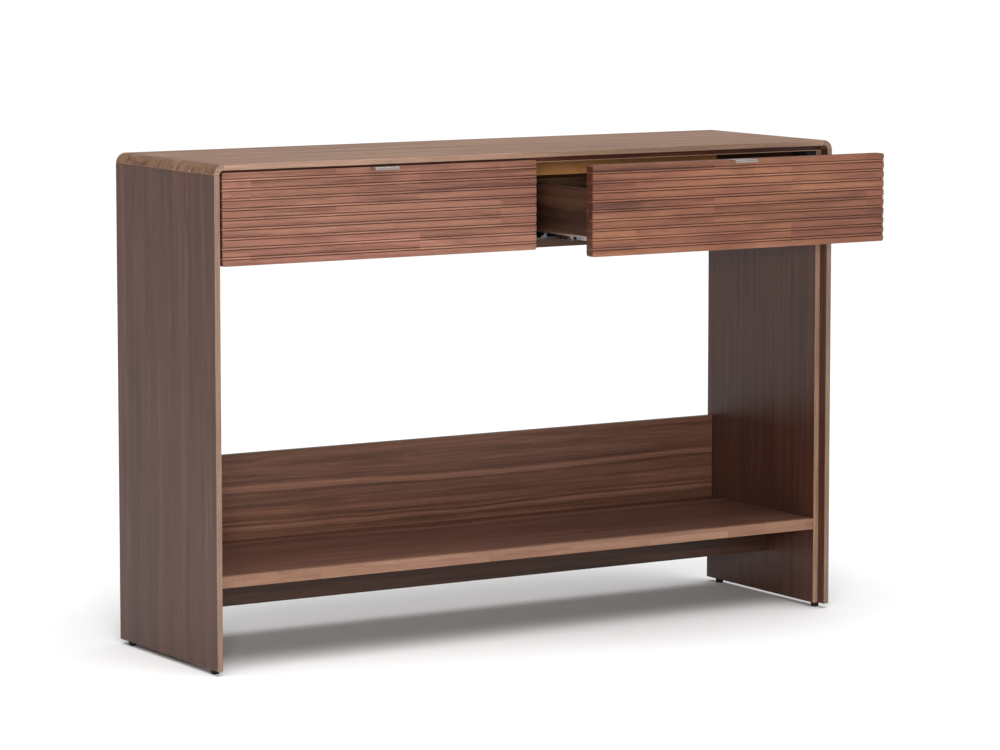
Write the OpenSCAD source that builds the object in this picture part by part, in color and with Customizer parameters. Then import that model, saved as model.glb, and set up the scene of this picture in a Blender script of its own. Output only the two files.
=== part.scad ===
// Console table with two ribbed drawers and a low shelf.
// Frame: X to the right, Y to the back, Z up; the origin is on the floor, at the centre of the footprint.

/* [Overall] */
// Width across the outer sides
table_w = 1200; // [900:1:1600]
// Depth of the outer shell
table_d = 345; // [300:1:480]
// Height from the floor to the top
table_h = 816; // [700:1:980]

/* [Shell and frame] */
// Thickness of the outer shell
skin_t = 9.5; // [8:0.5:14]
// Outer radius of the two top corners
corner_r = 17; // [15:0.5:24]
// Thickness of the second layer inside the shell
frame_t = 9.5; // [8:0.5:14]
// Thickness of the upright divider between the drawers
divider_t = 19; // [15:0.5:25]
// Depth from the top of the table to the underside of the drawer bay
bay_h = 160; // [135:1:200]
// Thickness of the panel under the drawers
bay_floor_t = 14; // [12:0.5:19]
// Thickness of the panel behind the drawers
bay_back_t = 9; // [6:0.5:12]
// How far the back panels sit in from the rear edges
back_inset = 2; // [0:0.5:6]
// Height of the light rail inside the back of the bay
rear_rail_h = 47; // [30:1:60]
// Thickness of that rail
rear_rail_t = 12; // [9:0.5:18]

/* [Low shelf] */
// Height of the shelf's top face
shelf_z = 156.5; // [120:0.5:250]
// Thickness of the shelf
shelf_t = 19; // [18:0.5:25]
// Depth of the solid lipping along the shelf's front edge
lipping_w = 12; // [8:0.5:20]
// Height of the upstand above the shelf
upstand_h = 146.5; // [60:0.5:200]
// Thickness of the upstand
upstand_t = 12; // [9:0.5:18]
// Height of the stretcher under the shelf
stretcher_h = 56.5; // [35:0.5:75]
// Thickness of the stretcher
stretcher_t = 15; // [12:0.5:22]
// Place of the stretcher's front face, from the middle of the table
stretcher_y = -14; // [-60:1:60]
// Height of the glides under the sides
foot_h = 8; // [4:0.5:15]
// Distance of each glide's centre from the nearest edge of the side
foot_in = 27; // [24:1:50]

/* [Drawer fronts] */
// Thickness of a drawer front
front_t = 18; // [16:0.5:22]
// Gap between a closed front and the frame behind it
closing_gap = 1.5; // [1:0.5:3]
// Gap beside a front
side_reveal = 4; // [3:0.5:6]
// Gap above a front
top_reveal = 3.5; // [3:0.5:6]
// Gap between the two fronts
mid_reveal = 2; // [2:0.5:5]
// How far a front hangs below the drawer bay
front_drop = 1.5; // [0:0.5:4]
// Distance between two grooves, before it is evened out over the front
rib_pitch = 15.5; // [12:0.5:24]
// Width of a groove
groove_w = 5.5; // [4:0.5:7]
// Depth of a groove
groove_d = 3.2; // [2:0.1:4.5]
// Distance of the outermost grooves from the edges of the front
rib_edge = 12.25; // [9:0.25:18]
// Width of the metal pull
pull_w = 45; // [30:1:90]
// How far the pull stands out in front
pull_reach = 16; // [12:0.5:28]

/* [Drawer boxes] */
// Thickness of the box's sides
box_t = 12; // [12:0.5:16]
// Thickness of the box's bottom
bottom_t = 6; // [4:0.5:9]
// Gap between a box and the wall of its bay, on each side
box_side_gap = 13; // [11:0.5:16]
// Gap between the top of a box and the inner top
box_top_gap = 36; // [20:1:60]
// Gap between the back of a closed box and the rail behind it
box_back_gap = 14; // [10:1:30]
// Height left for the slides under a box
slide_h = 13.5; // [13.5:0.5:18]
// How far the right drawer stands open
right_open = 166; // [0:1:230]

/* [Hidden] */
$fn = 48;

// Shell and frame
half_w = table_w / 2;
half_d = table_d / 2;
inner_r = corner_r - skin_t;
skin_x = half_w - skin_t;               // inner face of the shell's side
frame_x = skin_x - frame_t;             // inner face of the second layer
arc_x = half_w - corner_r;
arc_z = table_h - corner_r;
skin_z = table_h - skin_t;              // underside of the shell's top
inner_top_z = skin_z - frame_t;         // underside of the second layer
nest_clear = 1.5;                       // extra radius where the frame nests in the shell's corner
nest_r = inner_r + nest_clear;
frame_y = -half_d + front_t + closing_gap;
bay_z = table_h - bay_h;
bay_top_of_floor = bay_z + bay_floor_t;
divider_x = divider_t / 2;
back_y = half_d - back_inset;
bay_back_y = back_y - bay_back_t;
rear_rail_y = bay_back_y - rear_rail_t;

// Shelf
shelf_under = shelf_z - shelf_t;
upstand_y = back_y - upstand_t;
stretcher_z = shelf_under - stretcher_h;

// Fronts
front_y = -half_d;
front_back_y = front_y + front_t;
front_z0 = bay_z - front_drop;
front_z1 = skin_z - top_reveal;
front_h = front_z1 - front_z0;
front_corner_r = 4.5;
groove_n = round((front_h - 2 * rib_edge) / rib_pitch) + 1;
groove_step = (front_h - 2 * rib_edge) / (groove_n - 1);
slat_r = 1;                             // rounding of each slat's front arrises
bead_r = 1.5;
bead_sink = 0.6;                        // from the face of the front down to the crest of a bead

// Pull
pull_t = 2;
pull_land = 14;                         // depth of the flange that is let into the front's top edge
pull_fit = 0.3;                         // clearance round the flange in its recess
pull_lip_h = 4.5;                       // height of the lip that is turned down at the front
pull_screw_x = 14;
pull_screw_in = 8;
pull_screw_l = 14;

// Boxes and slides
box_z0 = bay_top_of_floor + slide_h;
box_z1 = inner_top_z - box_top_gap;
box_end = rear_rail_y - box_back_gap;
bottom_up = 8.5;                        // underside of the bottom above the lower edge of the sides
bottom_z = box_z0 + bottom_up;
bottom_in = 4.8;                        // how far the bottom reaches into its grooves
bottom_slack = 0.2;
sheet_t = 1.2;                          // thickness of the slides' sheet steel
slide_in = 5;                           // front end of the cabinet rails behind the frame's edge
slide_y = frame_y + slide_in;
slide_end = box_end - 3;
drawer_rail_in = 36;                    // front end of a drawer rail behind the drawer front

// Places across a slide, from the wall of the bay
foot_x = [2, 34.1];
outer_riser_x = 20;
inner_riser_x = 32.9;
outer_riser_h = 8.5;
inner_riser_h = 6;
middle_x = [21.9, 31.9];
middle_up = 2.5;
middle_h = 8;
plate_x = [14.5, 36.5];
outer_leg_h = 1.8;
inner_leg_h = 9.3;
stop_tab_y = 84;                        // rear edge of a small stop tab, behind the drawer front
stop_tab_l = 4;
stop_tab_h = 3.5;
catch_x = [26, 48];
catch_tab_x = [38, 48];
catch_len = 28;
catch_tab_h = 6.5;
catch_tab_len = 12;

// Hardware
dowel_r = 4;
dowel_l = 30;
dowel_in_side = 8;
cam_r = 7.5;
cam_h = 14;
cam_in = 34;
cam_bolt_r = 3;
hole_clear = 0.1;
bumper_r = 2.5;
bumper_t = 1.3;
bumper_in = 2.75;                       // from the front's edge, so that it meets the frame's edge
bumper_from_top = 30;
pull_screw = [3, 1.5, 1.5];
wood_screw = [3.6, 2.2, 1.75];          // head radius, head height, shank radius
rail_screw = [2.6, 1.3, 1.5];
bolt_screw = [4, 2.5, 2];
slide_screw_l = 11;
slide_screw_x = 11;
rail_screw_l = 9;
back_screw_l = 24;
upstand_screw_l = 28;
front_screw_bite = 11;
foot_pin_r = 1.5;
foot_pin_l = 12;

dowel_ys = [-100, 110] * table_d / 345;
cam_ys = [-60, 70] * table_d / 345;
stretcher_mid = stretcher_y + stretcher_t / 2;
stretcher_dowel_zs = [stretcher_z + stretcher_h / 4, stretcher_z + stretcher_h * 3 / 4];
dowel_points = concat([for (y = dowel_ys) [y, shelf_z - shelf_t / 2]],
                      [for (z = stretcher_dowel_zs) [stretcher_mid, z]]);
foot_x_mid = half_w - (skin_t + frame_t) / 2;
foot_ys = [-half_d + foot_in, half_d - foot_in];
back_screw_xs = [for (k = [-0.78, -0.26, 0.26, 0.78]) k * frame_x];
upstand_screw_xs = [for (k = [-0.86, -0.43, 0, 0.43, 0.86]) k * frame_x];
slide_screw_ys = [slide_y + 20, (slide_y + slide_end) / 2, slide_end - 20];
rail_screw_ys = [front_back_y + drawer_rail_in + 25, slide_end - 30];
rear_rail_screw_z = inner_top_z - rear_rail_h / 2;
floor_screw_z = bay_z + bay_floor_t / 2;

// Directions in which a peg, screw or hole points
to_right = [0, 90, 0];
to_left = [0, -90, 0];
to_back = [-90, 0, 0];
to_front = [90, 0, 0];
to_top = [0, 0, 0];
to_floor = [180, 0, 0];

walnut = [0.43, 0.29, 0.21];
walnut_dark = [0.27, 0.18, 0.14];
walnut_light = [0.58, 0.41, 0.29];
poplar = [0.72, 0.58, 0.40];
zinc = [0.72, 0.72, 0.70];
nickel = [0.75, 0.72, 0.68];
black = [0.07, 0.07, 0.07];

// The walls of one drawer's bay: side is -1 for the left drawer and 1 for the right one
function bay_x(side) = side < 0 ? [-frame_x, -divider_x] : [divider_x, frame_x];
function box_x(side) = bay_x(side) + [box_side_gap, -box_side_gap];
function front_x(side) = side < 0
    ? [-skin_x + side_reveal, -mid_reveal / 2]
    : [mid_reveal / 2, skin_x - side_reveal];
function open_y(side) = side < 0 ? 0 : -right_open;
function middle(x) = (x[0] + x[1]) / 2;
// A bay's walls as [place, direction into the bay]: end 0 is the left wall and end 1 the right one
function wall(side, end) = [bay_x(side)[end], end == 0 ? 1 : -1];

module slab(x, y, z) {
    translate([x[0], y[0], z[0]])
        cube([x[1] - x[0], y[1] - y[0], z[1] - z[0]]);
}

// An outline in X and Z, drawn out along Y
module along_y(y) {
    translate([0, y[1], 0])
        rotate([90, 0, 0])
            linear_extrude(y[1] - y[0])
                children();
}

// An outline in Y and Z, drawn out along X
module along_x(x) {
    translate([x[0], 0, 0])
        rotate([90, 0, 90])
            linear_extrude(x[1] - x[0])
                children();
}

module box2(a, b) {
    translate([a[0], b[0]])
        square([a[1] - a[0], b[1] - b[0]]);
}

module at(place, direction) {
    translate(place)
        rotate(direction)
            children();
}

// The cross-shaped recess for a driver, cut upwards from the plane z = 0
module cross_recess(radius, depth) {
    arm = 0.6 * radius;
    half = 0.13 * radius;
    slab([-arm, arm], [-half, half], [-1, depth]);
    slab([-half, half], [-arm, arm], [-1, depth]);
}

// A screw whose head bears on the plane z = 0 and whose shank points up
module screw(size, length) {
    difference() {
        union() {
            translate([0, 0, -size[1]])
                cylinder(r = size[0], h = size[1]);
            cylinder(r = size[2], h = length);
        }
        translate([0, 0, -size[1]])
            cross_recess(size[0], 0.7 * size[1]);
    }
}

// A countersunk screw whose head is flush with the plane z = 0 and whose shank points up
module sunk_screw(size, length) {
    difference() {
        union() {
            cylinder(r1 = size[0], r2 = size[2], h = size[1]);
            cylinder(r = size[2], h = length);
        }
        cross_recess(size[0], 0.7 * size[1]);
    }
}

module hole(radius, length) {
    translate([0, 0, -hole_clear])
        cylinder(r = radius + hole_clear, h = length + 2 * hole_clear);
}

module sunk_hole(size, length) {
    translate([0, 0, -hole_clear])
        cylinder(r1 = size[0] + hole_clear, r2 = size[2] + hole_clear, h = size[1] + hole_clear);
    hole(size[2], length);
}

// Shell

module top_panel() {
    color(walnut)
        slab([-arc_x, arc_x], [-half_d, half_d], [skin_z, table_h]);
}

module corner(side) {
    color(walnut_light)
        along_y([-half_d, half_d])
            translate([side * arc_x, arc_z])
                intersection() {
                    difference() {
                        circle(r = corner_r);
                        circle(r = inner_r);
                    }
                    translate([side < 0 ? -corner_r : 0, 0])
                        square(corner_r);
                }
}

module foot_pins(radius) {
    for (s = [-1, 1])
        for (y = foot_ys)
            at([s * foot_x_mid, y, foot_h], to_top)
                cylinder(r = radius, h = foot_pin_l);
}

module outer_side(side) {
    x = side < 0 ? [-half_w, -skin_x] : [skin_x, half_w];
    color(walnut)
        difference() {
            slab(x, [-half_d, half_d], [foot_h, arc_z]);
            foot_pins(foot_pin_r + hole_clear);
        }
}

// Second layer and drawer bay

// The outline inside the shell, with its rounded top corners a little rounder than the shell's
module nest() {
    box2([-skin_x, skin_x], [foot_h, skin_z - nest_r]);
    box2([-skin_x + nest_r, skin_x - nest_r], [foot_h, skin_z]);
    for (s = [-1, 1])
        translate([s * (skin_x - nest_r), skin_z - nest_r])
            circle(r = nest_r);
}

module inner_top() {
    color(walnut_dark)
        along_y([frame_y, half_d])
            intersection() {
                nest();
                box2([-skin_x, skin_x], [inner_top_z, skin_z]);
            }
}

module inner_side(side) {
    x = side < 0 ? [-skin_x, -frame_x] : [frame_x, skin_x];
    color(walnut)
        difference() {
            along_y([frame_y, half_d])
                intersection() {
                    nest();
                    box2(x, [foot_h, inner_top_z]);
                }
            foot_pins(foot_pin_r + hole_clear);
            for (p = dowel_points)
                at([side * frame_x, p[0], p[1]], side < 0 ? to_left : to_right)
                    hole(dowel_r, dowel_in_side);
            for (y = cam_ys)
                at([side * frame_x, y, shelf_z - shelf_t / 2], side < 0 ? to_left : to_right)
                    hole(cam_bolt_r, dowel_in_side);
        }
}

module bay_floor() {
    color(walnut_dark)
        difference() {
            slab([-frame_x, frame_x], [frame_y, bay_back_y], [bay_z, bay_top_of_floor]);
            slide_screw_places()
                hole(wood_screw[2], slide_screw_l);
            for (x = back_screw_xs)
                at([x, bay_back_y, floor_screw_z], to_front)
                    hole(wood_screw[2], back_screw_l - bay_back_t);
        }
}

module bay_divider() {
    color(walnut_dark)
        slab([-divider_x, divider_x], [frame_y, rear_rail_y], [bay_top_of_floor, inner_top_z]);
}

module bay_back() {
    color(walnut_dark)
        difference() {
            slab([-frame_x, frame_x], [bay_back_y, back_y], [bay_z, inner_top_z]);
            back_screw_places()
                sunk_hole(wood_screw, bay_back_t);
        }
}

module back_screw_places() {
    for (x = back_screw_xs)
        for (z = [rear_rail_screw_z, floor_screw_z])
            at([x, back_y, z], to_front)
                children();
}

module bay_rear_rail() {
    color(poplar)
        difference() {
            slab([-frame_x, frame_x], [rear_rail_y, bay_back_y], [inner_top_z - rear_rail_h, inner_top_z]);
            for (x = back_screw_xs)
                at([x, bay_back_y, rear_rail_screw_z], to_front)
                    hole(wood_screw[2], rear_rail_t - 2);
        }
}

module bay_back_screws() {
    color(zinc)
        for (x = back_screw_xs) {
            at([x, back_y, rear_rail_screw_z], to_front)
                sunk_screw(wood_screw, bay_back_t + rear_rail_t - 3);
            at([x, back_y, floor_screw_z], to_front)
                sunk_screw(wood_screw, back_screw_l);
        }
}

// Blocks over the boxes' outer sides, which stop an open drawer from tipping
module guide_blocks() {
    block_w = box_side_gap + box_t / 2;
    block_l = 43;
    block_back = 1;
    clear = 2.5;
    color(black)
        for (s = [-1, 1]) {
            x = [s * frame_x, s * (frame_x - block_w)];
            slab([min(x), max(x)],
                 [frame_y + block_back, frame_y + block_back + block_l],
                 [box_z1 + clear, inner_top_z]);
        }
}

// Low shelf

module lower_shelf() {
    color(walnut)
        difference() {
            slab([-frame_x, frame_x], [frame_y + lipping_w, upstand_y], [shelf_under, shelf_z]);
            for (s = [-1, 1]) {
                for (y = dowel_ys)
                    at([s * frame_x, y, shelf_z - shelf_t / 2], s < 0 ? to_right : to_left)
                        hole(dowel_r, dowel_l - dowel_in_side);
                for (y = cam_ys) {
                    at([s * frame_x, y, shelf_z - shelf_t / 2], s < 0 ? to_right : to_left)
                        hole(cam_bolt_r, cam_in);
                    at([s * (frame_x - cam_in), y, shelf_under], to_top)
                        hole(cam_r, cam_h);
                }
            }
            for (x = upstand_screw_xs)
                at([x, upstand_y, shelf_z - shelf_t / 2], to_front)
                    hole(wood_screw[2], upstand_screw_l - upstand_t);
        }
}

module shelf_lipping() {
    color(walnut_light)
        slab([-frame_x, frame_x], [frame_y, frame_y + lipping_w], [shelf_under, shelf_z]);
}

module shelf_upstand() {
    color(walnut)
        difference() {
            slab([-frame_x, frame_x], [upstand_y, back_y], [shelf_under, shelf_z + upstand_h]);
            for (x = upstand_screw_xs)
                at([x, back_y, shelf_z - shelf_t / 2], to_front)
                    sunk_hole(wood_screw, upstand_t);
        }
}

module upstand_screws() {
    color(zinc)
        for (x = upstand_screw_xs)
            at([x, back_y, shelf_z - shelf_t / 2], to_front)
                sunk_screw(wood_screw, upstand_screw_l);
}

module shelf_stretcher() {
    color(walnut_dark)
        difference() {
            slab([-frame_x, frame_x], [stretcher_y, stretcher_y + stretcher_t], [stretcher_z, shelf_under]);
            for (s = [-1, 1])
                for (z = stretcher_dowel_zs)
                    at([s * frame_x, stretcher_mid, z], s < 0 ? to_right : to_left)
                        hole(dowel_r, dowel_l - dowel_in_side);
        }
}

module dowels() {
    color(poplar)
        for (s = [-1, 1])
            for (p = dowel_points)
                at([s * (frame_x + dowel_in_side), p[0], p[1]], s < 0 ? to_right : to_left)
                    cylinder(r = dowel_r, h = dowel_l);
}

module cam_locks() {
    slot_w = 1.4;
    slot_d = 1.5;
    color(zinc)
        for (s = [-1, 1])
            for (y = cam_ys)
                at([s * (frame_x - cam_in), y, shelf_under], to_top)
                    difference() {
                        cylinder(r = cam_r, h = cam_h);
                        slab([-4, 4], [-slot_w / 2, slot_w / 2], [-1, slot_d]);
                        slab([-slot_w / 2, slot_w / 2], [-4, 4], [-1, slot_d]);
                    }
}

module cam_bolts() {
    color(zinc)
        for (s = [-1, 1])
            for (y = cam_ys)
                at([s * (frame_x + dowel_in_side), y, shelf_z - shelf_t / 2], s < 0 ? to_right : to_left)
                    cylinder(r = cam_bolt_r, h = dowel_in_side + cam_in - cam_r - 0.5);
}

module glides() {
    color(black) {
        for (s = [-1, 1])
            for (y = foot_ys)
                at([s * foot_x_mid, y, 0], to_top)
                    cylinder(r1 = 6, r2 = 7.5, h = foot_h);
        foot_pins(foot_pin_r);
    }
}

// Slides: three members of sheet steel under each side of a box

// An outline across a slide, measured from the wall of the bay and from the bay's floor
module slide_outline(side, end) {
    w = wall(side, end);
    translate([w[0], bay_top_of_floor])
        mirror([end, 0])
            children();
}

module cabinet_rail(side, end) {
    color(zinc)
        difference() {
            along_y([slide_y, slide_end])
                slide_outline(side, end) {
                    box2(foot_x, [0, sheet_t]);
                    box2([outer_riser_x, outer_riser_x + sheet_t], [0, outer_riser_h]);
                    box2([inner_riser_x, inner_riser_x + sheet_t], [0, inner_riser_h]);
                }
            translate([0, 0, sheet_t])
                slide_screw_places()
                    hole(wood_screw[2], slide_screw_l);
        }
}

// Where the screws of the cabinet rails enter the floor of the bay
module slide_screw_places() {
    for (side = [-1, 1])
        for (end = [0, 1])
            for (y = slide_screw_ys)
                at([wall(side, end)[0] + wall(side, end)[1] * slide_screw_x, y, bay_top_of_floor], to_floor)
                    children();
}

module slide_screws() {
    color(zinc)
        translate([0, 0, sheet_t])
            slide_screw_places()
                screw(wood_screw, slide_screw_l);
}

module middle_rail(side, end) {
    top = middle_up + middle_h;
    color(zinc)
        along_y([slide_y, slide_end] + [1, 1] * open_y(side) / 2)
            slide_outline(side, end) {
                box2(middle_x, [top - sheet_t, top]);
                box2([middle_x[0], middle_x[0] + sheet_t], [middle_up, top]);
                box2([middle_x[1] - sheet_t, middle_x[1]], [middle_up, top]);
            }
}

module drawer_rail(side, end) {
    tab_y = front_back_y + stop_tab_y;
    leg_z = slide_h - sheet_t - outer_leg_h;
    color(zinc)
        translate([0, open_y(side), 0])
            difference() {
                union() {
                    along_y([tab_y - stop_tab_l, tab_y])
                        slide_outline(side, end)
                            box2([plate_x[0], plate_x[0] + sheet_t], [leg_z - stop_tab_h, slide_h]);
                    along_y([front_back_y + drawer_rail_in, slide_end])
                        slide_outline(side, end) {
                            box2(plate_x, [slide_h - sheet_t, slide_h]);
                            box2([plate_x[0], plate_x[0] + sheet_t], [leg_z, slide_h]);
                            box2([plate_x[1] - sheet_t, plate_x[1]],
                                 [slide_h - sheet_t - inner_leg_h, slide_h]);
                        }
                }
                rail_screw_places(side)
                    hole(rail_screw[2], sheet_t);
            }
}

// Where the screws of a drawer's rails pass up through them
module rail_screw_places(side) {
    for (end = [0, 1])
        for (y = rail_screw_ys)
            at([box_x(side)[end] + wall(side, end)[1] * box_t / 2, y, box_z0 - sheet_t], to_top)
                children();
}

module rail_screws(side) {
    color(zinc)
        translate([0, open_y(side), 0])
            rail_screw_places(side)
                screw(rail_screw, rail_screw_l);
}

// Catches that hold the box on its rails, with a finger lever on each
module catches(side) {
    y0 = front_back_y + box_t;
    color(black)
        translate([0, open_y(side), 0])
            for (end = [0, 1]) {
                along_y([y0, y0 + catch_len])
                    slide_outline(side, end)
                        box2(catch_x, [slide_h, slide_h + bottom_up]);
                along_y([y0, y0 + catch_tab_len])
                    slide_outline(side, end)
                        box2(catch_tab_x, [slide_h - catch_tab_h, slide_h + bottom_up]);
            }
}

// Drawer fronts

// A slat of the front from z0 to z1, with rounded front arrises
module slat(z0, z1) {
    box2([front_y + slat_r, front_y + groove_d], [z0, z1]);
    box2([front_y, front_y + slat_r], [z0 + slat_r, z1 - slat_r]);
    for (z = [z0 + slat_r, z1 - slat_r])
        translate([front_y + slat_r, z])
            circle(r = slat_r);
}

module front_outline() {
    box2([front_y + groove_d, front_back_y], [front_z0, front_z1]);
    for (i = [0 : groove_n]) {
        below = front_z0 + rib_edge + (i - 1) * groove_step + groove_w / 2;
        above = front_z0 + rib_edge + i * groove_step - groove_w / 2;
        slat(i == 0 ? front_z0 : below, i == groove_n ? front_z1 : above);
    }
    for (i = [0 : groove_n - 1]) {
        z = front_z0 + rib_edge + i * groove_step;
        translate([front_y + bead_sink + bead_r, z])
            circle(r = bead_r);
        box2([front_y + bead_sink + bead_r, front_y + groove_d], [z - bead_r, z + bead_r]);
    }
}

// The front's rounded rectangle, seen from in front
module front_face(side) {
    x = front_x(side);
    r = front_corner_r;
    box2([x[0] + r, x[1] - r], [front_z0, front_z1]);
    box2(x, [front_z0 + r, front_z1 - r]);
    for (cx = [x[0] + r, x[1] - r])
        for (cz = [front_z0 + r, front_z1 - r])
            translate([cx, cz])
                circle(r = r);
}

module pull_screw_places(side) {
    for (s = [-1, 1])
        at([middle(front_x(side)) + s * pull_screw_x, front_y + pull_screw_in, front_z1], to_floor)
            children();
}

// Where the screws pass from the box's subfront into the front
module front_screw_places(side) {
    for (f = [0.1, 0.9])
        for (z = [box_z0 + 20, box_z1 - 20])
            at([box_x(side)[0] * (1 - f) + box_x(side)[1] * f, front_back_y + box_t, z], to_front)
                children();
}

module drawer_front(side) {
    mid = middle(front_x(side));
    color(walnut_light)
        translate([0, open_y(side), 0])
            difference() {
                intersection() {
                    along_x(front_x(side))
                        front_outline();
                    along_y([front_y - 1, front_back_y + 1])
                        front_face(side);
                }
                slab([mid - pull_w / 2 - pull_fit, mid + pull_w / 2 + pull_fit],
                     [front_y - 1, front_y + pull_land + pull_fit],
                     [front_z1 - pull_t, front_z1 + 1]);
                pull_screw_places(side)
                    hole(pull_screw[2], pull_screw_l);
                front_screw_places(side)
                    hole(bolt_screw[2], box_t + front_screw_bite);
            }
}

module pull(side) {
    mid = middle(front_x(side));
    tip_y = front_y - pull_reach;
    bend = [tip_y, tip_y + pull_t];
    flange_z = [front_z1 - pull_t, front_z1];
    color(nickel)
        translate([0, open_y(side), 0])
            difference() {
                along_x([mid - pull_w / 2, mid + pull_w / 2]) {
                    box2([bend[1], front_y + pull_land], flange_z);
                    box2(bend, [front_z1 - pull_lip_h, flange_z[0]]);
                    intersection() {
                        translate([bend[1], flange_z[0]])
                            circle(r = pull_t);
                        box2(bend, flange_z);
                    }
                }
                pull_screw_places(side)
                    sunk_hole(pull_screw, pull_t);
            }
}

module pull_screws(side) {
    color(nickel)
        translate([0, open_y(side), 0])
            pull_screw_places(side)
                sunk_screw(pull_screw, pull_screw_l);
}

module front_screws(side) {
    color(zinc)
        translate([0, open_y(side), 0])
            front_screw_places(side)
                screw(bolt_screw, box_t + front_screw_bite);
}

module bumpers(side) {
    color(black)
        translate([0, open_y(side), 0])
            for (x = front_x(side) + [bumper_in, -bumper_in])
                for (z = [front_z0 + bumper_from_top, front_z1 - bumper_from_top])
                    at([x, front_back_y, z], to_back)
                        cylinder(r = bumper_r, h = bumper_t);
}

// Drawer boxes

module box_side(side, end) {
    x = box_x(side)[end];
    d = end == 0 ? 1 : -1;
    outer = [x, x + d * box_t];
    groove = [x + d * (box_t - bottom_in - bottom_slack), x + d * (box_t + 1)];
    color(walnut_dark)
        translate([0, open_y(side), 0])
            difference() {
                slab([min(outer), max(outer)], [front_back_y, box_end], [box_z0, box_z1]);
                slab([min(groove), max(groove)],
                     [front_back_y + box_t - bottom_in - bottom_slack, box_end + 1],
                     [bottom_z, bottom_z + bottom_t + bottom_slack]);
                rail_screw_places(side)
                    hole(rail_screw[2], rail_screw_l);
            }
}

module box_subfront(side) {
    x = box_x(side) + [box_t, -box_t];
    color(walnut_dark)
        translate([0, open_y(side), 0])
            difference() {
                slab(x, [front_back_y, front_back_y + box_t], [box_z0, box_z1]);
                slab([x[0] - 1, x[1] + 1],
                     [front_back_y + box_t - bottom_in - bottom_slack, front_back_y + box_t + 1],
                     [bottom_z, bottom_z + bottom_t + bottom_slack]);
                front_screw_places(side)
                    hole(bolt_screw[2], box_t);
            }
}

module box_back(side) {
    x = box_x(side) + [box_t, -box_t];
    color(walnut_dark)
        translate([0, open_y(side), 0])
            slab(x, [box_end - box_t, box_end], [bottom_z + bottom_t, box_z1]);
}

module box_bottom(side) {
    x = box_x(side) + [box_t - bottom_in, bottom_in - box_t];
    color(walnut_dark)
        translate([0, open_y(side), 0])
            slab(x, [front_back_y + box_t - bottom_in, box_end], [bottom_z, bottom_z + bottom_t]);
}

top_panel();
corner(-1);  // corner_left
corner(1);  // corner_right
outer_side(-1);  // outer_side_left
outer_side(1);  // outer_side_right
inner_top();
inner_side(-1);  // inner_side_left
inner_side(1);  // inner_side_right
bay_floor();
bay_divider();
bay_back();
bay_rear_rail();
guide_blocks();
lower_shelf();
shelf_lipping();
shelf_upstand();
shelf_stretcher();
glides();
dowels();
cam_locks();
cam_bolts();
upstand_screws();
bay_back_screws();
cabinet_rail(-1, 0);  // left_cabinet_rail_a
cabinet_rail(-1, 1);  // left_cabinet_rail_b
cabinet_rail(1, 0);  // right_cabinet_rail_a
cabinet_rail(1, 1);  // right_cabinet_rail_b
slide_screws();
drawer_front(-1);  // left_front
pull(-1);  // left_pull
pull_screws(-1);  // left_pull_screws
front_screws(-1);  // left_front_screws
bumpers(-1);  // left_bumpers
box_side(-1, 0);  // left_box_side_a
box_side(-1, 1);  // left_box_side_b
box_subfront(-1);  // left_box_subfront
box_back(-1);  // left_box_back
box_bottom(-1);  // left_box_bottom
drawer_rail(-1, 0);  // left_drawer_rail_a
drawer_rail(-1, 1);  // left_drawer_rail_b
rail_screws(-1);  // left_rail_screws
catches(-1);  // left_catches
middle_rail(-1, 0);  // left_middle_rail_a
middle_rail(-1, 1);  // left_middle_rail_b
drawer_front(1);  // right_front
pull(1);  // right_pull
pull_screws(1);  // right_pull_screws
front_screws(1);  // right_front_screws
bumpers(1);  // right_bumpers
box_side(1, 0);  // right_box_side_a
box_side(1, 1);  // right_box_side_b
box_subfront(1);  // right_box_subfront
box_back(1);  // right_box_back
box_bottom(1);  // right_box_bottom
drawer_rail(1, 0);  // right_drawer_rail_a
drawer_rail(1, 1);  // right_drawer_rail_b
rail_screws(1);  // right_rail_screws
catches(1);  // right_catches
middle_rail(1, 0);  // right_middle_rail_a
middle_rail(1, 1);  // right_middle_rail_b
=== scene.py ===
"""Console table in walnut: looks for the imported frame."""
import math

import bpy
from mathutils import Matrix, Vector


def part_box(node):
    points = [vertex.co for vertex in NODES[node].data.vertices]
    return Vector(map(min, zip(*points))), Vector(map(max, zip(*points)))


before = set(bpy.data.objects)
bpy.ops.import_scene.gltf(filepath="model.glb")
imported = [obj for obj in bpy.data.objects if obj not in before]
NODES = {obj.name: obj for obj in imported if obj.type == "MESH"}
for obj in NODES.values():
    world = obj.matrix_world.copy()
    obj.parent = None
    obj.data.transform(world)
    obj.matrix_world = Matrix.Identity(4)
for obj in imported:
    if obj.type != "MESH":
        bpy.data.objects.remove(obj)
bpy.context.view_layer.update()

SHELL_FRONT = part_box("outer_side_left")[0].y
FRAME_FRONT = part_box("inner_side_left")[0].y
EDGING = 0.0008                          # how deep the edging veneer goes
MILLIMETRE = 0.001
SHARP = math.radians(28)                 # a sharper edge than this is eased


# ---------------------------------------------------------------- colour and node helpers

def linear(code):
    """A colour written as rrggbb in sRGB, as linear numbers for a shader."""
    values = [int(code[i:i + 2], 16) / 255 for i in (0, 2, 4)]
    return [v / 12.92 if v <= 0.04045 else ((v + 0.055) / 1.055) ** 2.4 for v in values] + [1.0]


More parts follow.
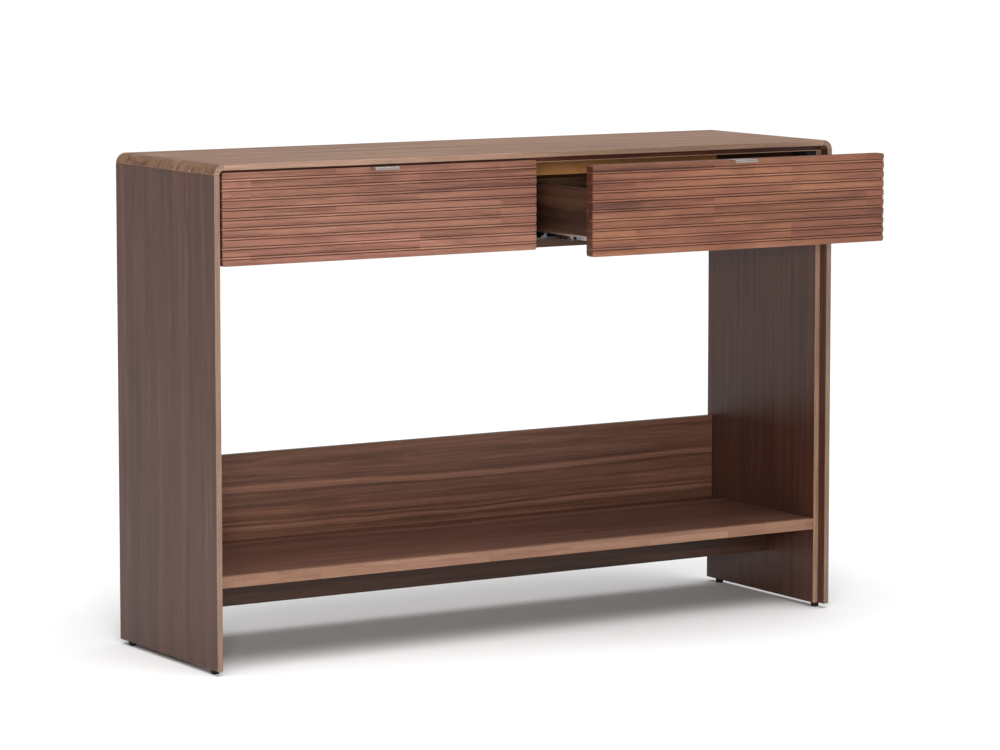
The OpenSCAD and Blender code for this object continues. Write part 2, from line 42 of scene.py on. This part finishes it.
class Graph:
    """One material's node tree, with a short call for each kind of node."""

    def __init__(self, name):
        self.material = bpy.data.materials.new(name)
        self.material.use_nodes = True
        self.tree = self.material.node_tree
        self.tree.nodes.clear()
        self.output = self.tree.nodes.new("ShaderNodeOutputMaterial")
        self.shader = self.tree.nodes.new("ShaderNodeBsdfPrincipled")
        self.tree.links.new(self.shader.outputs[0], self.output.inputs[0])
        self.object = self.tree.nodes.new("ShaderNodeTexCoord").outputs["Object"]

    def put(self, socket, value):
        if isinstance(value, bpy.types.NodeSocket):
            self.tree.links.new(value, socket)
        elif value is not None:
            socket.default_value = value

    def math(self, operation, a, b=None):
        node = self.tree.nodes.new("ShaderNodeMath")
        node.operation = operation
        for socket, value in zip(node.inputs, (a, b)):
            self.put(socket, value)
        return node.outputs[0]

    def add(self, a, b):
        return self.math("ADD", a, b)

    def mul(self, a, b):
        return self.math("MULTIPLY", a, b)

    def scaled(self, vector, scale):
        node = self.tree.nodes.new("ShaderNodeMapping")
        self.put(node.inputs["Vector"], vector)
        node.inputs["Scale"].default_value = (scale, scale, scale)
        return node.outputs[0]

    def split(self, vector):
        node = self.tree.nodes.new("ShaderNodeSeparateXYZ")
        self.put(node.inputs[0], vector)
        return node.outputs

    def join(self, x, y, z):
        node = self.tree.nodes.new("ShaderNodeCombineXYZ")
        for socket, value in zip(node.inputs, (x, y, z)):
            self.put(socket, value)
        return node.outputs[0]

    def noise(self, vector, detail=2.0, rough=0.5, w=None):
        """Noise at a place, or along one number w. The vector or w sets its scale."""
        node = self.tree.nodes.new("ShaderNodeTexNoise")
        if w is None:
            self.put(node.inputs["Vector"], vector)
        else:
            node.noise_dimensions = "1D"
            self.put(node.inputs["W"], w)
        node.inputs["Scale"].default_value = 1.0
        node.inputs["Detail"].default_value = detail
        node.inputs["Roughness"].default_value = rough
        return node.outputs[0]

    def ramp(self, value, stops, smooth=False):
        """Stops are (place, colour or grey), in any order."""
        node = self.tree.nodes.new("ShaderNodeValToRGB")
        self.put(node.inputs[0], value)
        if smooth:
            node.color_ramp.interpolation = "EASE"
        marks = node.color_ramp.elements
        while len(marks) < len(stops):
            marks.new(0.5)
        for mark, (place, colour) in zip(marks, sorted(stops, key=lambda s: s[0])):
            mark.position = place
            mark.color = colour if not isinstance(colour, (int, float)) else (colour, colour, colour, 1)
        return node.outputs[0]

    def mix(self, amount, a, b, kind="MIX"):
        node = self.tree.nodes.new("ShaderNodeMix")
        node.data_type = "RGBA"
        node.blend_type = kind
        node.clamp_factor = True
        self.put(node.inputs[0], amount)
        self.put(node.inputs[6], a)
        self.put(node.inputs[7], b)
        return node.outputs[2]

    def grey(self, value):
        return self.join(value, value, value)

    def tint(self, colour, factors):
        """A colour with its red, green and blue multiplied."""
        return self.mix(1.0, colour, (*factors, 1), "MULTIPLY")

    def bump(self, height, distance, strength):
        node = self.tree.nodes.new("ShaderNodeBump")
        node.inputs["Strength"].default_value = strength
        node.inputs["Distance"].default_value = distance
        self.put(node.inputs["Height"], height)
        return node.outputs[0]

    def brick(self, vector, width, height):
        """A random grey for each block, for blocks in a vector's X and Y with no gap between them."""
        node = self.tree.nodes.new("ShaderNodeTexBrick")
        self.put(node.inputs["Vector"], vector)
        node.offset = 0.5
        node.inputs["Color1"].default_value = (0, 0, 0, 1)
        node.inputs["Color2"].default_value = (1, 1, 1, 1)
        node.inputs["Mortar"].default_value = (0.5, 0.5, 0.5, 1)
        node.inputs["Scale"].default_value = 1.0
        node.inputs["Mortar Size"].default_value = 0.0
        node.inputs["Mortar Smooth"].default_value = 0.3
        node.inputs["Brick Width"].default_value = width
        node.inputs["Row Height"].default_value = height
        return node.outputs["Color"]

    def set(self, **values):
        names = {"colour": "Base Color", "rough": "Roughness", "metal": "Metallic", "normal": "Normal",
                 "specular": "Specular IOR Level"}
        for key, value in values.items():
            self.put(self.shader.inputs[names[key]], value)


AXES = {"X": 0, "Y": 1, "Z": 2}
WOOD_ROUGH = 0.42
PORE_COLOUR = "2a1c17"
PORE_DEPTH = 0.00012
# What the colour of the wood is multiplied by: for the purple blush, for end grain, for painted shade deep in
# the grooves of a front and for a painted highlight on each bead
PURPLE = (0.82, 0.76, 0.82)
END_GRAIN = (0.55, 0.50, 0.42)
GROOVE_PAINTED_SHADE = (0.60, 0.49, 0.41)
BEAD_PAINTED_HIGHLIGHT = (1.34, 1.46, 1.52)


def walnut(name, grain, across, tones, heart=(0.5, 0.9), seed=0.0, pitch=0.011, wander=0.012, contrast=1.0,
           drift=0.35, fleck=0.55, blocks=None, edging=None, arris=None, grooves=None, specular=0.3):
    """Walnut with its grain along one axis, in three tones from dark to light.

    pitch is the spacing of the growth rings and wander how far they stray. contrast is that of the
    figure, drift that of the broad clouds and fleck that of the fibres.
    heart is where the middle of the log lies, across the face and behind it: near it the figure arches,
    and far from it the figure runs straight. blocks is the length, height and start of the glued staves.
    edging is the veneer in front of a depth: (Y, light, dark). arris is a painted highlight along the
    lower front edge of a panel: (Y, Z, colour). grooves paints shade into the grooves of a front and a
    highlight onto the bead in each: (Y of the face, Z of the lowest bead, distance from bead to bead, X of
    the two ends).
    """
    g = Graph(name)
    p = g.split(g.object)
    a, u = AXES[grain], AXES[across]
    v = 3 - a - u
    along, side, deep = p[a], p[u], p[v]
    tone = None
    if blocks:
        width, height, start = blocks
        shifted = g.join(g.add(along, start[0]), g.add(side, start[1]), 0.0)
        tone = g.brick(shifted, width, height)
        side = g.add(side, g.mul(tone, 0.37))
        along = g.add(along, g.mul(tone, 3.1))

    def stretched(scale_along, scale_side, shift):
        return g.join(g.mul(along, scale_along), g.mul(side, scale_side),
                      g.add(g.mul(deep, scale_side), seed + shift))

    # growth rings, which wander slowly along the board
    slow = g.noise(stretched(1.6, 7.0, 0), detail=3, rough=0.55)
    quick = g.noise(stretched(9.0, 60.0, 3), detail=2)
    off_side = g.add(side, -heart[0])
    off_deep = g.add(deep, -heart[1])
    radius = g.math("SQRT", g.add(g.mul(off_side, off_side), g.mul(off_deep, off_deep)))
    radius = g.add(radius, g.mul(g.add(slow, -0.5), wander * 4))
    radius = g.add(radius, g.mul(g.add(quick, -0.5), wander * 0.25))
    rings = g.noise(None, detail=4, rough=0.62, w=g.add(g.mul(radius, 1 / pitch), seed * 7.0))
    # fibres, pores, streaks and broad clouds
    fibre = g.noise(stretched(16.0, 620.0, 0), detail=3, rough=0.6)
    pore = g.ramp(g.noise(stretched(70.0, 1500.0, 0), detail=1), [(0.62, 0.0), (0.72, 1.0)])
    streak = g.noise(stretched(2.2, 95.0, 9), detail=3, rough=0.6)
    cloud = g.noise(stretched(2.5, 9.0, 5), detail=2)
    blush = g.noise(stretched(7.0, 26.0, 14), detail=2)

    value = g.add(g.mul(rings, 0.55), g.mul(streak, 0.45))
    value = g.add(g.mul(g.add(value, -0.5), 2.6 * contrast), 0.5)
    value = g.add(value, g.mul(g.add(fibre, -0.5), fleck))
    dark, mid, light = tones
    colour = g.ramp(value, [(0.08, linear(dark)), (0.5, linear(mid)), (0.95, linear(light))])
    shade = g.add(g.mul(g.add(cloud, -0.5), drift), 1.0)
    purple = g.ramp(blush, [(0.5, 0.0), (0.72, 0.7)])
    if tone is not None:
        shade = g.mul(shade, g.add(g.mul(g.add(tone, -0.5), 0.18), 1.0))
        purple_stave = g.ramp(g.math("FRACT", g.mul(tone, 5.3)), [(0.6, 0.0), (0.95, 0.6)])
        purple = g.math("MAXIMUM", purple, purple_stave)
    colour = g.mix(1.0, colour, g.grey(shade), "MULTIPLY")
    colour = g.mix(purple, colour, g.tint(colour, PURPLE))
    if edging:
        place, edge_light, edge_dark = edging
        edge_grain = g.noise(stretched(12.0, 420.0, 21), detail=3)
        edge_tone = g.ramp(edge_grain, [(0.3, 0.0), (0.7, 1.0)])
        edge_colour = g.mix(edge_tone, linear(edge_dark), linear(edge_light))
        colour = g.mix(g.math("LESS_THAN", p[1], place), colour, edge_colour)
    # Painted highlight: a light band along the lower front edge of the panel
    if arris:
        place, height, edge = arris
        corner = g.mul(g.math("LESS_THAN", p[1], place), g.math("LESS_THAN", p[2], height))
        colour = g.mix(corner, colour, linear(edge))
    if grooves:
        face, lowest, step, ends = grooves
        end_grain = g.add(g.math("LESS_THAN", p[0], ends[0]), g.math("GREATER_THAN", p[0], ends[1]))
        colour = g.mix(end_grain, colour, g.tint(colour, END_GRAIN))
        # Painted shade: each groove darkens towards its bottom. Painted highlight: each bead is lightened.
        turns = g.add(g.mul(g.add(p[2], -lowest), 1 / step), 0.5)
        from_bead = g.mul(g.math("ABSOLUTE", g.add(g.math("FRACT", turns), -0.5)), step)
        off_bead = g.math("GREATER_THAN", from_bead, BEAD)
        depth = g.mul(g.add(p[1], -face), 1 / GROOVE)
        groove_shade_ramp = g.ramp(depth, [(0.3, 0.0), (0.7, 1.0)], smooth=True)
        bead_highlight_mask = g.mul(g.math("LESS_THAN", from_bead, BEAD), g.math("LESS_THAN", depth, 1.0))
        groove_shade_colour = g.tint(colour, GROOVE_PAINTED_SHADE)
        bead_highlight_colour = g.tint(colour, BEAD_PAINTED_HIGHLIGHT)
        colour = g.mix(g.mul(groove_shade_ramp, off_bead), colour, groove_shade_colour)
        colour = g.mix(bead_highlight_mask, colour, bead_highlight_colour)
    colour = g.mix(g.mul(pore, 0.4), colour, linear(PORE_COLOUR))
    roughness = g.add(g.mul(fibre, 0.14), WOOD_ROUGH - 0.07)
    height = g.add(g.mul(fibre, 0.35), g.mul(pore, -0.9))
    g.set(colour=colour, rough=roughness, normal=g.bump(height, PORE_DEPTH, 0.6), specular=specular)
    return g.material


def paint(material, *names):
    """Gives a material to CAD nodes."""
    for name in names:
        data = NODES[name].data
        if not data.materials:
            data.materials.append(material)
        for i in range(len(data.materials)):
            data.materials[i] = material


# ---------------------------------------------------------------- edges

def easing_group():
    """Welds a CAD mesh and marks its sharp edges, so that a bevel can round them."""
    tree = bpy.data.node_groups.new("weld_and_shade", "GeometryNodeTree")
    tree.interface.new_socket("Geometry", in_out="INPUT", socket_type="NodeSocketGeometry")
    tree.interface.new_socket("Geometry", in_out="OUTPUT", socket_type="NodeSocketGeometry")
    n, link = tree.nodes, tree.links.new
    start, end = n.new("NodeGroupInput"), n.new("NodeGroupOutput")
    drop = n.new("GeometryNodeRemoveAttribute")
    drop.inputs["Name"].default_value = "custom_normal"
    weld = n.new("GeometryNodeMergeByDistance")
    weld.inputs["Distance"].default_value = 0.000005
    smooth = n.new("GeometryNodeSetShadeSmooth")
    smooth.domain = "FACE"
    smooth.inputs["Shade Smooth"].default_value = True
    angle = n.new("GeometryNodeInputMeshEdgeAngle")
    over = n.new("FunctionNodeCompare")
    over.data_type = "FLOAT"
    over.operation = "GREATER_THAN"
    over.inputs[1].default_value = SHARP
    sharp = n.new("GeometryNodeSetShadeSmooth")
    sharp.domain = "EDGE"
    sharp.inputs["Shade Smooth"].default_value = False
    link(start.outputs[0], drop.inputs["Geometry"])
    link(drop.outputs[0], weld.inputs["Geometry"])
    link(weld.outputs[0], smooth.inputs["Geometry"])
    link(smooth.outputs[0], sharp.inputs["Geometry"])
    link(angle.outputs[0], over.inputs[0])
    link(over.outputs[0], sharp.inputs["Selection"])
    link(sharp.outputs[0], end.inputs[0])
    return tree


EASE = easing_group()


def ease(width, *names):
    """Rounds the sharp edges of CAD nodes by a small width, in millimetres."""
    for name in names:
        piece = NODES[name]
        piece.modifiers.new("weld", "NODES").node_group = EASE
        flat = piece.modifiers.new("flat", "DECIMATE")
        flat.decimate_type = "DISSOLVE"
        flat.angle_limit = math.radians(0.3)
        bevel = piece.modifiers.new("ease", "BEVEL")
        bevel.width = width * MILLIMETRE
        bevel.segments = 2
        bevel.limit_method = "ANGLE"
        bevel.angle_limit = SHARP
        bevel.harden_normals = True
        bevel.use_clamp_overlap = True


# ---------------------------------------------------------------- camera, floor and light

CAMERA_PLACE = (-3.65965, -5.97389, 1.26978)
CAMERA_DOWN = 6.1598                     # degrees below level
CAMERA_LEFT = 31.7318                    # degrees round to the table's left
LENS, SENSOR, SHIFT = 150.256, 36, -0.05
FLOOR_HALF = 40                          # metres
FLOOR_GREY = 0.86
AMBIENT = (0.13, 0.13, 0.13)
CEILING = (3.7, math.radians(70))        # strength and angle of the light from overhead
CEILING_AIM = (0.05, 0.25, -1)
LAMPS = [                                # name, place, aim, size, power and colour
    ("key", (-2.2, -3.6, 1.15), (0, 0, 0.7), (1.1, 0.4), 105, (1, 0.985, 0.96)),
    ("back", (2.6, 5.0, 1.6), (0, 0, 0.8), (3, 2), 10, (1, 1, 1)),
]


def studio():
    camera = bpy.data.objects.new("camera", bpy.data.cameras.new("camera"))
    bpy.context.scene.collection.objects.link(camera)
    camera.location = CAMERA_PLACE
    camera.rotation_euler = (math.radians(90 - CAMERA_DOWN), 0, math.radians(-CAMERA_LEFT))
    camera.data.sensor_width = SENSOR
    camera.data.lens = LENS
    camera.data.shift_y = SHIFT
    camera.data.clip_end = 100
    bpy.context.scene.camera = camera

    floor_mesh = bpy.data.meshes.new("floor")
    near, far = -FLOOR_HALF, FLOOR_HALF
    corners = [(near, near, 0), (far, near, 0), (far, far, 0), (near, far, 0)]
    floor_mesh.from_pydata(corners, [], [(0, 1, 2, 3)])
    floor = bpy.data.objects.new("floor", floor_mesh)
    bpy.context.scene.collection.objects.link(floor)
    g = Graph("floor_paint")
    g.set(colour=(FLOOR_GREY, FLOOR_GREY, FLOOR_GREY, 1), rough=0.9, specular=0.1)
    floor.data.materials.append(g.material)

    world = bpy.data.worlds.new("studio")
    bpy.context.scene.world = world
    world.use_nodes = True
    tree = world.node_tree
    background = tree.nodes["Background"]
    background.inputs["Color"].default_value = (*AMBIENT, 1)
    background.inputs["Strength"].default_value = 1.0
    backdrop = tree.nodes.new("ShaderNodeBackground")
    backdrop.inputs["Color"].default_value = (1, 1, 1, 1)
    backdrop.inputs["Strength"].default_value = 1.0
    rays = tree.nodes.new("ShaderNodeLightPath")
    either = tree.nodes.new("ShaderNodeMixShader")
    tree.links.new(rays.outputs["Is Camera Ray"], either.inputs[0])
    tree.links.new(background.outputs[0], either.inputs[1])
    tree.links.new(backdrop.outputs[0], either.inputs[2])
    tree.links.new(either.outputs[0], tree.nodes["World Output"].inputs[0])

    sky = bpy.data.lights.new("ceiling", "SUN")
    sky.energy, sky.angle = CEILING
    overhead = bpy.data.objects.new("ceiling", sky)
    bpy.context.scene.collection.objects.link(overhead)
    overhead.rotation_euler = Vector(CEILING_AIM).to_track_quat("-Z", "Y").to_euler()
    for name, place, aim, size, power, colour in LAMPS:
        lamp = bpy.data.lights.new(name, "AREA")
        lamp.shape = "RECTANGLE"
        lamp.size, lamp.size_y = size
        lamp.energy = power
        lamp.color = colour
        softbox = bpy.data.objects.new(name, lamp)
        bpy.context.scene.collection.objects.link(softbox)
        softbox.location = place
        softbox.rotation_euler = (Vector(aim) - Vector(place)).to_track_quat("-Z", "Y").to_euler()
        softbox.visible_camera = False
    bpy.context.scene.view_settings.view_transform = "Standard"


studio()

# ---------------------------------------------------------------- wood

# One edging veneer in three copies: the top's is lightened as painted light, since less light falls on it,
# the sides' is darkened as painted shade, and the corners' lies between.
TOP_EDGING = (SHELL_FRONT + EDGING, "9e7f6b", "836655")
CORNER_EDGING = (SHELL_FRONT + EDGING, "937665", "7a5f50")
SIDE_EDGING = (SHELL_FRONT + EDGING, "896f5f", "725a4b")
FRAME_EDGING = (FRAME_FRONT + EDGING, "a3826e", "84654f")
# SIDE_TONES and INNER_TONES are darkened copies of the walnut, as painted shade for the shade that falls on
# the outer and inner sides.
SIDE_TONES = ("2e1b14", "4d2f23", "674433")
INNER_TONES = ("2a1914", "482c22", "5f3e32")
BOX_TONES = ("20130d", "3a2419", "4e3426")
DIM_TONES = ("281913", "46301f", "5c3f30")
STAVES = (0.31, 0.0465, (0.07, 0.0))     # length, height and start of the staves glued into a front
GROOVE = 0.0032                          # depth of a groove in a front
BEAD = 0.0015                            # half the width of a bead
RIB_EDGE = 0.01225                       # from the edges of a front to the nearest beads
RIB_COUNT = 9
ARRIS_HEIGHT = 0.0012
# Each drawer front: seed and tones
FRONTS = {"left": (0.4, ("593a30", "845a4a", "a0735e")), "right": (1.9, ("52332a", "7a4e3c", "92644b"))}


def grooves_of(front):
    """Where the grooves of a drawer front are, for walnut()."""
    low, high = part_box(front)
    step = (high.z - low.z - 2 * RIB_EDGE) / (RIB_COUNT - 1)
    return low.y, low.z + RIB_EDGE, step, (low.x + EDGING, high.x - EDGING)


def wood():
    paint(walnut("walnut_top", "X", "Y", ("5a3f2f", "886248", "aa8267"), heart=(0.35, 1.2), seed=1.3,
                 specular=0.5, edging=TOP_EDGING), "top_panel")
    paint(walnut("walnut_corner", "X", "Y", ("4e3829", "785a47", "9c7b63"), heart=(0.1, 0.9), seed=5.5,
                 pitch=0.006, wander=0.02, contrast=0.75, drift=0.8, fleck=1.0, edging=CORNER_EDGING),
          "corner_left", "corner_right")
    paint(walnut("walnut_side", "Z", "Y", SIDE_TONES, seed=4.1, contrast=0.6, drift=0.25, edging=SIDE_EDGING),
          "outer_side_left", "outer_side_right")
    paint(walnut("walnut_inner", "Z", "Y", INNER_TONES, seed=8.7, contrast=0.6, drift=0.25,
                 edging=FRAME_EDGING), "inner_side_left", "inner_side_right")
    # The inner top's walnut is darkened as painted shade, for the shadow that the top's overhang casts on its
    # front edge; its arris band is a painted highlight.
    paint(walnut("walnut_inner_top", "X", "Y", ("3a1d15", "5a3226", "70442f"), seed=2.7,
                 arris=(FRAME_FRONT + EDGING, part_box("inner_top")[0].z + ARRIS_HEIGHT, "b49078")),
          "inner_top")
    # The bay floor takes the darkest tones as painted shade, for the shadow that the drawers cast on its
    # front edge.
    paint(walnut("walnut_bay", "X", "Y", BOX_TONES, seed=2.9, contrast=0.8), "bay_floor")
    paint(walnut("walnut_box_bottom", "X", "Y", DIM_TONES, seed=7.9, contrast=0.8), "left_box_bottom",
          "right_box_bottom")
    paint(walnut("walnut_box", "X", "Z", DIM_TONES, seed=6.2, contrast=0.8), "bay_divider", "bay_back",
          "left_box_subfront", "left_box_back", "right_box_subfront", "right_box_back")
    paint(walnut("walnut_stretcher", "X", "Z", BOX_TONES, seed=6.6, contrast=0.8), "shelf_stretcher")
    paint(walnut("walnut_box_side", "Y", "Z", BOX_TONES, seed=7.2, contrast=0.9), "left_box_side_a",
          "left_box_side_b", "right_box_side_a", "right_box_side_b")
    paint(walnut("walnut_shelf", "X", "Y", ("3b2722", "654438", "865e50"), seed=3.2, contrast=0.7),
          "lower_shelf")
    paint(walnut("walnut_upstand", "X", "Z", ("39251d", "694738", "8b6351"), heart=(0.28, 0.2), seed=9.2,
                 contrast=0.75, pitch=0.007, wander=0.006), "shelf_upstand")
    paint(walnut("walnut_lipping", "X", "Z", ("6f4f3d", "886550", "9a7762"), seed=3.9, contrast=0.6,
                 blocks=(0.16, 0.05, (0, 0))), "shelf_lipping")
    for side, (seed, tones) in FRONTS.items():
        front = side + "_front"
        paint(walnut("walnut_" + front, "X", "Z", tones, heart=(1.2, 0.9), seed=seed, contrast=0.8, fleck=0.8,
                     blocks=STAVES, grooves=grooves_of(front)), front)
    paint(walnut("birch_ply", "X", "Z", ("d98f52", "eda766", "f6bd85"), seed=6.9, contrast=0.4, drift=0.15),
          "bay_rear_rail", "dowels")


wood()

# ---------------------------------------------------------------- metal, plastic and rubber

ACROSS_LINES, ALONG_LINES = 900.0, 25.0  # noise per metre across and along the brushed lines
LINE_DEPTH = 0.00003
LEATHER = 500.0                          # noise per metre of the moulded texture
LEATHER_DEPTH = 0.00006
CLOUD_STOPS = [(0.35, 0.0), (0.65, 1.0)]


def metal(name, tone, along, rough):
    """Brushed or plated metal with fine lines along one axis."""
    g = Graph(name)
    scale = [ACROSS_LINES] * 3
    scale[AXES[along]] = ALONG_LINES
    lines = g.noise(g.join(*(g.mul(axis, s) for axis, s in zip(g.split(g.object), scale))), detail=3)
    cloud = g.noise(g.scaled(g.object, 40), detail=2)
    darker = [c * 0.82 for c in linear(tone)[:3]] + [1.0]
    blend = g.ramp(g.add(g.mul(lines, 0.6), g.mul(cloud, 0.4)), CLOUD_STOPS)
    g.set(colour=g.mix(blend, darker, linear(tone)), metal=1.0,
          rough=g.add(g.mul(lines, 0.16), rough - 0.08), normal=g.bump(lines, LINE_DEPTH, 0.5))
    return g.material


def moulded(name, tone, rough, specular=0.5):
    """Moulded plastic or rubber with a faint leathery texture."""
    g = Graph(name)
    cells = g.noise(g.scaled(g.object, LEATHER), detail=3)
    cloud = g.noise(g.scaled(g.object, 60), detail=2)
    lifted = [min(1.0, c * 1.5 + 0.004) for c in linear(tone)[:3]] + [1.0]
    g.set(colour=g.mix(g.ramp(cloud, CLOUD_STOPS), linear(tone), lifted), specular=specular,
          rough=g.add(g.mul(cells, 0.2), rough - 0.1), normal=g.bump(cells, LEATHER_DEPTH, 0.5))
    return g.material


nickel = metal("satin_nickel", "c4bcb4", "X", 0.38)
paint(nickel, "left_pull", "right_pull", "left_pull_screws", "right_pull_screws")
RAILS = [n for n in NODES if n.endswith(("rail_a", "rail_b"))]
steel = metal("slide_zinc", "dcdfe2", "Y", 0.42)
paint(steel, *[n for n in RAILS if "drawer" in n])
# The cabinet and middle members take a darker zinc than the drawer members as painted shade, for the shade
# they lie in, recessed behind the drawer members; the low roughness is their shine.
bright_steel = metal("slide_bright_zinc", "a9adb0", "Y", 0.2)
paint(bright_steel, *[n for n in RAILS if "drawer" not in n])
zinc = metal("screw_zinc", "bdbcb6", "Z", 0.32)
paint(zinc, *[n for n in NODES if n.endswith("screws") and "pull" not in n], "cam_locks", "cam_bolts")
black = moulded("black_plastic", "0b0a0a", 0.6, specular=0.25)
paint(black, "glides", "guide_blocks", "left_catches", "right_catches")
rubber = moulded("clear_rubber", "6e6a64", 0.6)
paint(rubber, "left_bumpers", "right_bumpers")

# ---------------------------------------------------------------- easing of edges

ease(0.9, "top_panel", "corner_left", "corner_right", "outer_side_left", "outer_side_right")
ease(0.6, "inner_top", "inner_side_left", "inner_side_right", "bay_divider", "shelf_lipping", "shelf_upstand",
     "shelf_stretcher", "lower_shelf", "bay_floor", "bay_rear_rail", "bay_back")
ease(0.5, *[n for n in NODES if "_box_" in n])
ease(0.3, "left_front", "right_front", "left_pull", "right_pull", "guide_blocks", "left_catches",
     "right_catches", "glides")
ease(0.15, *RAILS)
